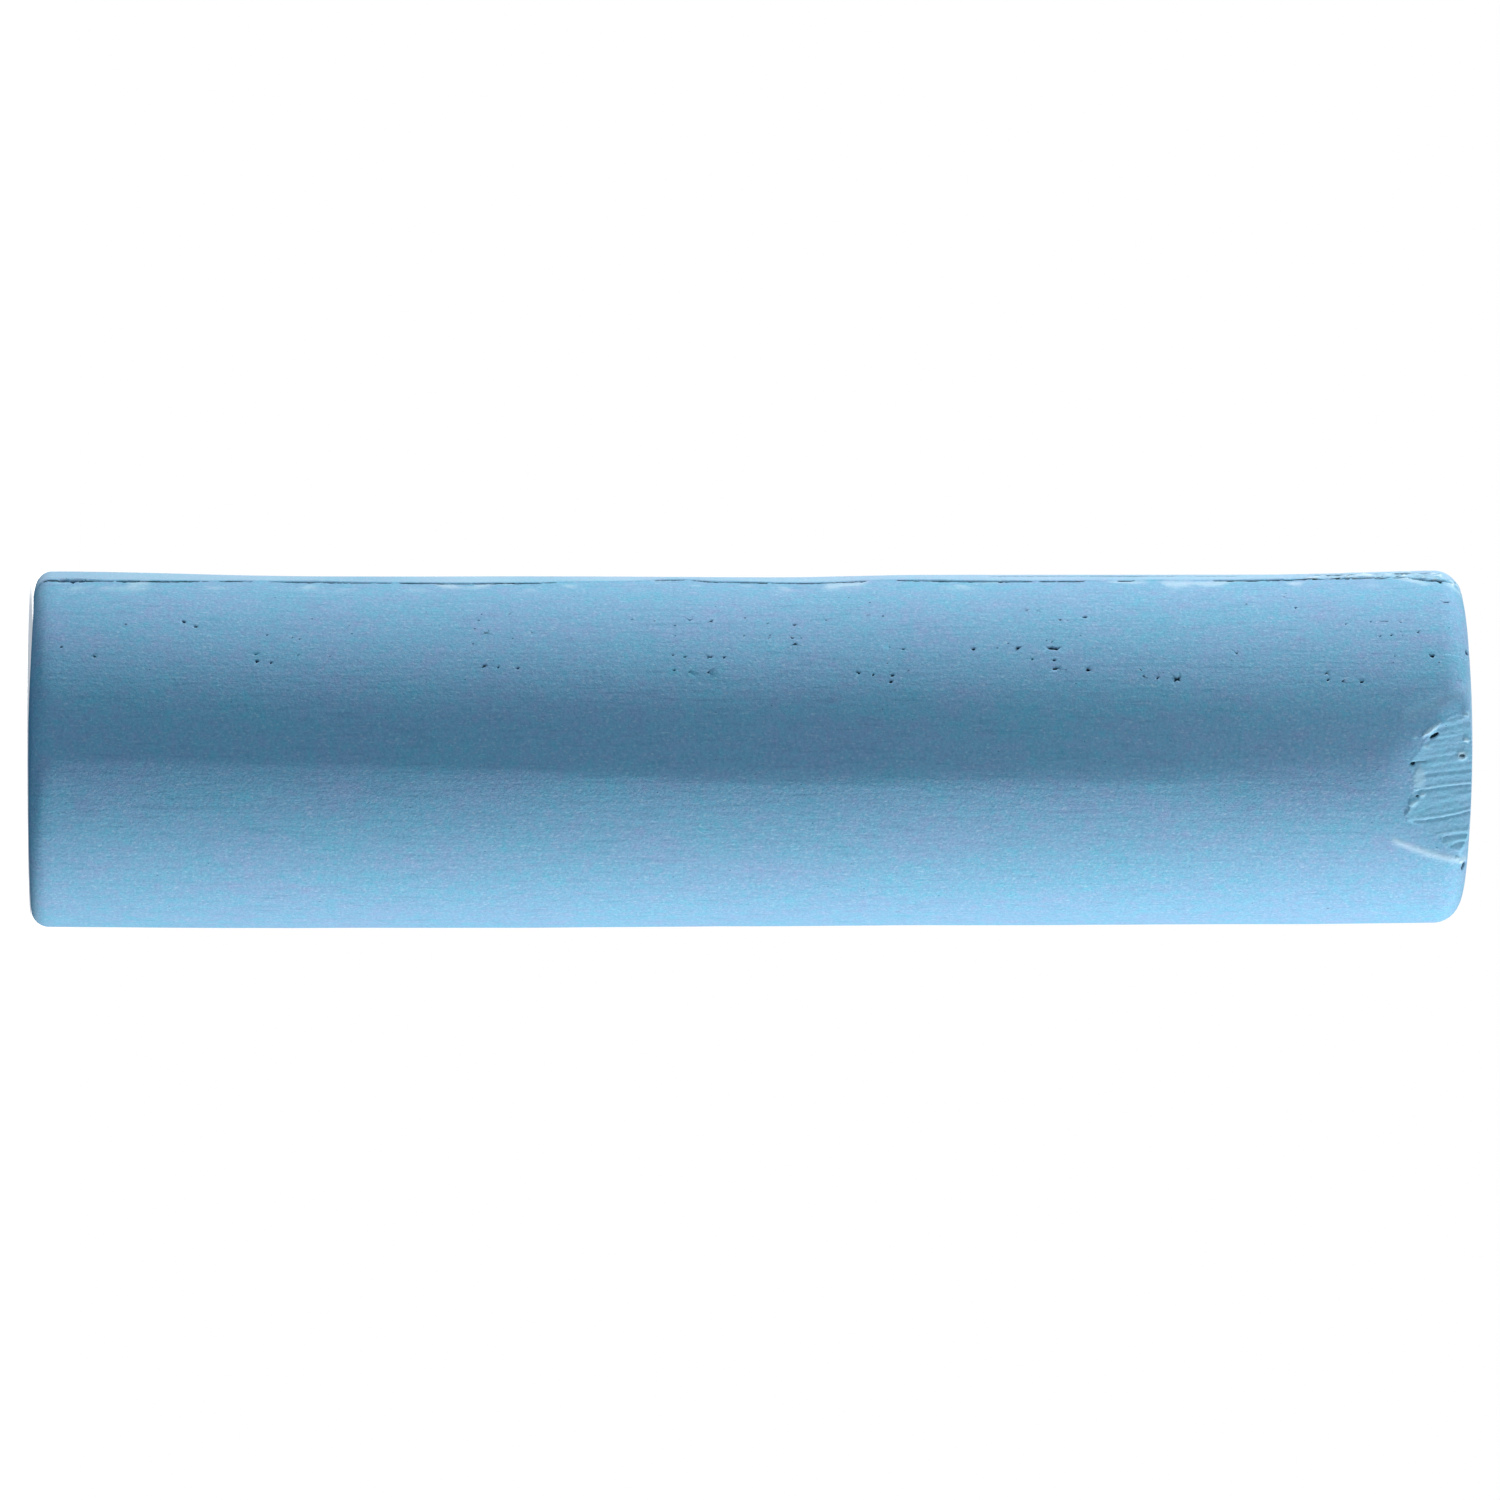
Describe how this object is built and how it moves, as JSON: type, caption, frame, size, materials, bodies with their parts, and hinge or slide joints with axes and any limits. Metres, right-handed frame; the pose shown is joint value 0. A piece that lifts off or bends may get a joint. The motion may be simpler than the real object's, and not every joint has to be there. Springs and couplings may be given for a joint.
{
  "type": "soft pastel stick",
  "caption": "Thick round stick of pressed sky blue pigment with a flat foot, a gently crowned head, a hairline seam along one side and a facet worn on the head's rim.",
  "frame": {"origin": "centre of the stick's flat foot", "axes": "+Z along the stick's axis, from the flat foot towards the crowned head; the worn facet on the head's rim faces -Y, 12 degrees towards +X; the seam runs up the -X side"},
  "size_m": [0.0148, 0.0148, 0.061],
  "materials": {
    "pastel": "matte"
  },
  "bodies": {
    "root": {"pastel_stick": "pastel"}
  },
  "joints": []
}
